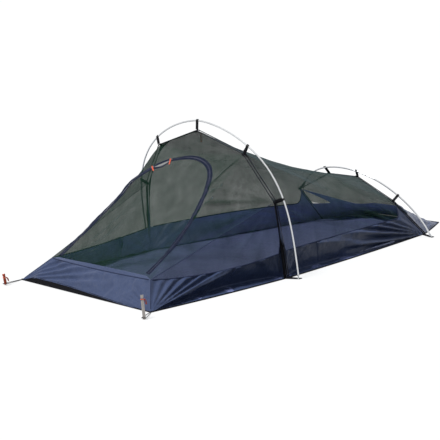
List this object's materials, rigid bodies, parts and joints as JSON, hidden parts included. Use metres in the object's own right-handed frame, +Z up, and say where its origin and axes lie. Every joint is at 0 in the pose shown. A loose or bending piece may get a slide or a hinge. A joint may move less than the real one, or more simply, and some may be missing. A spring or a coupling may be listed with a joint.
{
  "type": "backpacking tent",
  "caption": "Low pitched net tent for a lone sleeper: navy bathtub floor, dark net canopy with an arched zip door, held up by a tall front hoop and a low rear hoop",
  "frame": {"origin": "On the ground under the floor, on the middle plane, between the feet of the front hoop. The floor's underside is z = 0.", "axes": "+X toward the foot end, +Z up, the sleeper's head toward -X, left pieces at -Y and right pieces at +Y"},
  "size_m": [2.4198, 1.088, 0.7164],
  "materials": {
    "navy_ripstop": "woven nylon with a slight sheen",
    "navy_floor": "coated woven nylon",
    "dark_net": "fine dark insect net, see-through",
    "black_webbing": "black moulded hooks, woven tabs and cord",
    "navy_binding": "dark piped seam binding",
    "navy_zip": "woven zip tape with coil teeth",
    "polished_alloy": "bright drawn tube",
    "grey_alloy": "plain machined",
    "slider_steel": "plain pressed",
    "orange_cord": "orange-red cord and pull"
  },
  "bodies": {
    "tent_body": {"canopy_net": "dark_net", "corner_binding_left": "navy_binding", "corner_binding_right": "navy_binding", "corner_loop_left": "black_webbing", "corner_loop_right": "black_webbing", "foot_panel": "navy_ripstop", "front_ferrule_1": "grey_alloy", "front_ferrule_2": "grey_alloy", "front_ferrule_3": "grey_alloy", "front_ground_tab_left": "black_webbing", "front_ground_tab_right": "black_webbing", "front_pole_elastic": "black_webbing", "front_pole_section_1": "polished_alloy", "front_pole_section_2": "polished_alloy", "front_pole_section_3": "polished_alloy", "front_pole_section_4": "polished_alloy", "front_pole_tip_left": "grey_alloy", "front_pole_tip_right": "grey_alloy", "front_seam_binding": "navy_binding", "front_wall_left": "navy_ripstop", "front_wall_right": "navy_ripstop", "hanging_loop": "orange_cord", "head_net": "dark_net", "head_wall": "navy_ripstop", "rear_ferrule_1": "grey_alloy", "rear_ferrule_2": "grey_alloy", "rear_ground_tab_left": "black_webbing", "rear_ground_tab_right": "black_webbing", "rear_pole_elastic": "black_webbing", "rear_pole_section_1": "polished_alloy", "rear_pole_section_2": "polished_alloy", "rear_pole_section_3": "polished_alloy", "rear_pole_tip_left": "grey_alloy", "rear_pole_tip_right": "grey_alloy", "rear_seam_binding": "navy_binding", "side_net_left": "dark_net", "side_net_right": "dark_net", "side_wall_left": "navy_ripstop", "side_wall_right": "navy_ripstop", "tub_floor": "navy_floor", "zip_tape_frame": "navy_zip"},
    "door_flap": {"door_flap": "dark_net", "zip_tape_flap": "navy_zip"},
    "front_clip_shoulder_left": {"front_clip_shoulder_left": "black_webbing"},
    "front_clip_shoulder_right": {"front_clip_shoulder_right": "black_webbing"},
    "front_clip_side_left": {"front_clip_side_left": "black_webbing"},
    "front_clip_side_right": {"front_clip_side_right": "black_webbing"},
    "front_clip_top": {"front_clip_top": "black_webbing"},
    "peg_left": {"peg_cord_left": "orange_cord", "peg_left": "polished_alloy"},
    "peg_right": {"peg_cord_right": "orange_cord", "peg_right": "polished_alloy"},
    "rear_clip_side_left": {"rear_clip_side_left": "black_webbing"},
    "rear_clip_side_right": {"rear_clip_side_right": "black_webbing"},
    "rear_clip_top_left": {"rear_clip_top_left": "black_webbing"},
    "rear_clip_top_right": {"rear_clip_top_right": "black_webbing"},
    "zip_pull_1": {"zip_pull_1": "orange_cord"},
    "zip_pull_2": {"zip_pull_2": "orange_cord"},
    "zip_slider_1": {"zip_slider_1": "slider_steel"},
    "zip_slider_2": {"zip_slider_2": "slider_steel"}
  },
  "joints": [
    {"name": "door_flap_hinge", "type": "hinge", "parent": "tent_body", "child": "door_flap", "pos_m": [-0.75146, 0, 0.12426], "axis": [0, -1, 0], "range_deg": [0, 140]},
    {"name": "zip_slider_1_travel", "type": "hinge", "parent": "door_flap", "child": "zip_slider_1", "pos_m": [-0.36463, 0, 0.38872], "axis": [0.5644, 0, -0.8255], "range_deg": [-8, 12]},
    {"name": "zip_pull_1_swing", "type": "hinge", "parent": "zip_slider_1", "child": "zip_pull_1", "pos_m": [-0.23364, 0.20206, 0.48706], "axis": [-0.6415, 0.6293, -0.4386], "range_deg": [0, 150]},
    {"name": "zip_slider_2_travel", "type": "hinge", "parent": "door_flap", "child": "zip_slider_2", "pos_m": [-0.36463, 0, 0.38872], "axis": [0.5644, 0, -0.8255], "range_deg": [0, 88]},
    {"name": "zip_pull_2_swing", "type": "hinge", "parent": "zip_slider_2", "child": "zip_pull_2", "pos_m": [-0.18099, 0.12605, 0.52305], "axis": [-0.4002, 0.8746, -0.2736], "range_deg": [0, 150]},
    {"name": "front_clip_shoulder_left_release", "type": "hinge", "parent": "tent_body", "child": "front_clip_shoulder_left", "pos_m": [-0.10153, -0.29842, 0.58283], "axis": [0.0857, -0.8258, -0.5574], "range_deg": [0, 75]},
    {"name": "front_clip_shoulder_right_release", "type": "hinge", "parent": "tent_body", "child": "front_clip_shoulder_right", "pos_m": [-0.10153, 0.29842, 0.58283], "axis": [-0.0857, -0.8258, 0.5574], "range_deg": [0, 75]},
    {"name": "front_clip_side_left_release", "type": "hinge", "parent": "tent_body", "child": "front_clip_side_left", "pos_m": [-0.05963, -0.45645, 0.36089], "axis": [0.1448, -0.3029, -0.942], "range_deg": [0, 75]},
    {"name": "front_clip_side_right_release", "type": "hinge", "parent": "tent_body", "child": "front_clip_side_right", "pos_m": [-0.05963, 0.45645, 0.36089], "axis": [-0.1448, -0.3029, 0.942], "range_deg": [0, 75]},
    {"name": "front_clip_top_release", "type": "hinge", "parent": "tent_body", "child": "front_clip_top", "pos_m": [-0.11658, 0.0003, 0.67262], "axis": [-0.0104, -0.9977, 0.0674], "range_deg": [0, 75]},
    {"name": "rear_clip_side_left_release", "type": "hinge", "parent": "tent_body", "child": "rear_clip_side_left", "pos_m": [0.9404, -0.32892, 0.21187], "axis": [0.4012, -0.6534, -0.6419], "range_deg": [0, 75]},
    {"name": "rear_clip_side_right_release", "type": "hinge", "parent": "tent_body", "child": "rear_clip_side_right", "pos_m": [0.9404, 0.32892, 0.21187], "axis": [-0.4012, -0.6534, 0.6419], "range_deg": [0, 75]},
    {"name": "rear_clip_top_left_release", "type": "hinge", "parent": "tent_body", "child": "rear_clip_top_left", "pos_m": [0.91869, -0.10099, 0.32097], "axis": [-0.1315, 0.9687, 0.2104], "range_deg": [0, 75]},
    {"name": "rear_clip_top_right_release", "type": "hinge", "parent": "tent_body", "child": "rear_clip_top_right", "pos_m": [0.91869, 0.10099, 0.32097], "axis": [0.1315, 0.9687, -0.2104], "range_deg": [0, 75]},
    {"name": "peg_left_lift", "type": "slide", "parent": "tent_body", "child": "peg_left", "axis": [-0.0523, 0.0349, 0.998], "range_m": [0, 0.16]},
    {"name": "peg_right_lift", "type": "slide", "parent": "tent_body", "child": "peg_right", "axis": [-0.2419, -0.135, 0.9609], "range_m": [0, 0.16]}
  ]
}
